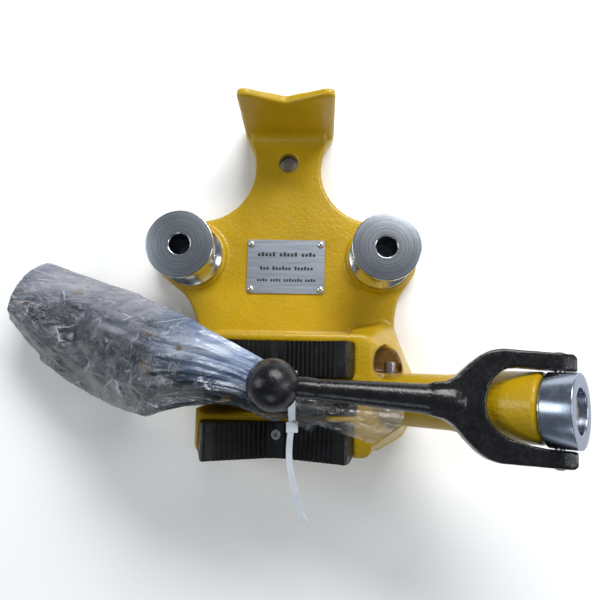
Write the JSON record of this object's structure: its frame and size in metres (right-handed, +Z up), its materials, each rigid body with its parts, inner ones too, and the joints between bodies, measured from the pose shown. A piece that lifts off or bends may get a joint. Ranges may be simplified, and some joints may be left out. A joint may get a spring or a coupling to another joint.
{
  "type": "bench chain vise with pipe bending rollers",
  "caption": "Bench chain vise: yellow cast base with V jaws, a pipe rest and bending rollers, a screw-drawn chain in a tied bag and a folding forked handle.",
  "frame": {"origin": "underside of the base on its centreline, under the middle of the chain slot", "axes": "+X to the horn with the nut and handle, +Y to the pipe rest, +Z up from the bench"},
  "size_m": [0.4506, 0.3445, 0.1702],
  "materials": {
    "yellow_enamel": "gloss enamel over a sand-cast surface",
    "black_oxide": "black oxide, oiled",
    "bright_zinc": "turned and zinc plated",
    "zinc_steel": "dull zinc",
    "spring_steel": "phosphated spring steel",
    "bare_steel": "machined and oiled",
    "black_enamel": "thick black enamel with a rough orange-peel surface",
    "black_phenolic": "polished",
    "brushed_aluminium": "brushed, clear lacquer",
    "rivet_aluminium": "bright",
    "oiled_steel": "dark, oiled",
    "clear_film": "clear crumpled polythene",
    "nylon": "translucent natural nylon"
  },
  "bodies": {
    "casting": {"vise_body": "yellow_enamel", "jaw_front": "black_oxide", "jaw_rear": "black_oxide", "jaw_screw_front": "zinc_steel", "jaw_screw_rear": "zinc_steel", "guide_pin": "bare_steel", "thrust_washer": "bare_steel", "nameplate": "brushed_aluminium", "rivet_rear_left": "rivet_aluminium", "rivet_rear_right": "rivet_aluminium", "rivet_front_left": "rivet_aluminium", "rivet_front_right": "rivet_aluminium"},
    "roller_l": {"roller_left": "bright_zinc", "roller_circlip_left": "spring_steel"},
    "roller_r": {"roller_right": "bright_zinc", "roller_circlip_right": "spring_steel"},
    "nut": {"nut_collar": "bright_zinc"},
    "lever": {"handle": "black_enamel", "ball_knob": "black_phenolic", "trunnion_pin_front": "bare_steel", "trunnion_pin_rear": "bare_steel"},
    "screw_and_chain": {"chain_screw": "bare_steel", "chain_link_01": "oiled_steel", "chain_link_02": "oiled_steel", "chain_link_03": "oiled_steel", "chain_link_04": "oiled_steel", "chain_link_05": "oiled_steel", "chain_link_06": "oiled_steel", "chain_link_07": "oiled_steel", "chain_link_08": "oiled_steel", "chain_link_09": "oiled_steel", "chain_link_10": "oiled_steel", "chain_link_11": "oiled_steel", "chain_link_12": "oiled_steel", "chain_link_13": "oiled_steel", "chain_link_14": "oiled_steel", "chain_link_15": "oiled_steel", "chain_link_16": "oiled_steel", "chain_link_17": "oiled_steel", "packing_bag": "clear_film", "cable_tie": "nylon"}
  },
  "joints": [
    {"name": "nut_turn", "type": "hinge", "parent": "casting", "child": "nut", "pos_m": [0.1938, 0, 0.1519], "axis": [0.7934, 0, 0.6088], "range_deg": [-60, 60]},
    {"name": "handle_fold", "type": "hinge", "parent": "nut", "child": "lever", "pos_m": [0.18349, 0, 0.14399], "axis": [0.0633, 0.9946, -0.0825], "range_deg": [0, 220]},
    {"name": "screw_draw", "type": "slide", "parent": "casting", "child": "screw_and_chain", "axis": [0.7934, 0, 0.6088], "range_m": [-0.0009, 0.0009]},
    {"name": "roller_left_spin", "type": "hinge", "parent": "casting", "child": "roller_l", "pos_m": [-0.084, 0.1215, 0.04], "axis": [0, 0, 1], "continuous": true},
    {"name": "roller_right_spin", "type": "hinge", "parent": "casting", "child": "roller_r", "pos_m": [0.084, 0.1215, 0.04], "axis": [0, 0, 1], "continuous": true}
  ],
  "couplings": [
    {"joint": "screw_draw", "follows": "nut_turn", "m_per_rad": -0.00079577}
  ]
}
